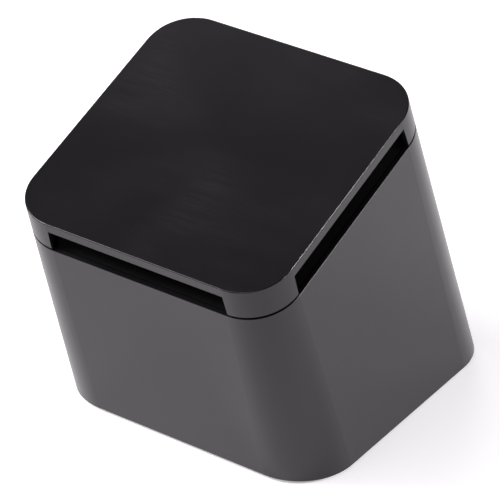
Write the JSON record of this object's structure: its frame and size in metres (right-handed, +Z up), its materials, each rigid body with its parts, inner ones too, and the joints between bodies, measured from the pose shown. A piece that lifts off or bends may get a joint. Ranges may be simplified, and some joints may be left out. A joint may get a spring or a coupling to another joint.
{
  "type": "napkin dispenser",
  "caption": "Leaning square napkin dispenser: lift-off lid with slots in its skirt, straight well for folded napkins and a sprung platform under the stack.",
  "frame": {"origin": "on the table under the middle of the whole box", "axes": "+Z up, -Y the side the box leans towards (its front), +X to the right as seen from the front"},
  "size_m": [0.1674, 0.2177, 0.1833],
  "materials": {
    "black_shell": "satin moulded black",
    "black_inner": "matt moulded black",
    "screw_steel": "zinc plated",
    "strike_steel": "plain steel",
    "magnet_nickel": "nickel plated",
    "spring_wire": "drawn spring wire",
    "foot_rubber": "matt rubber"
  },
  "bodies": {
    "housing": {"body_shell": "black_shell", "napkin_magazine": "black_inner", "magazine_screws": "screw_steel", "strike_disc_1": "strike_steel", "strike_disc_2": "strike_steel", "strike_disc_3": "strike_steel", "strike_disc_4": "strike_steel", "base_plate": "black_inner", "base_screws": "screw_steel", "foot_front_left": "foot_rubber", "foot_front_right": "foot_rubber", "foot_rear_left": "foot_rubber", "foot_rear_right": "foot_rubber", "spring_seat": "black_inner", "seat_screws": "screw_steel", "lift_spring": "spring_wire"},
    "lid": {"lid_shell": "black_shell", "lid_inner_plate": "black_inner", "lid_screws": "screw_steel", "lid_magnet_1": "magnet_nickel", "lid_magnet_2": "magnet_nickel", "lid_magnet_3": "magnet_nickel", "lid_magnet_4": "magnet_nickel"},
    "platform": {"follower_plate": "black_inner", "spring_retainer": "black_inner", "retainer_screws": "screw_steel"}
  },
  "joints": [
    {"name": "lid_lift", "type": "slide", "parent": "housing", "child": "lid", "axis": [0, -0.3478, 0.9376], "range_m": [0, 0.08]},
    {"name": "platform_travel", "type": "slide", "parent": "housing", "child": "platform", "axis": [0, -0.3478, 0.9376], "range_m": [-0.093, 0], "stiffness_N_per_m": 94, "springref_m": 0.038, "deforming": ["lift_spring"]}
  ]
}
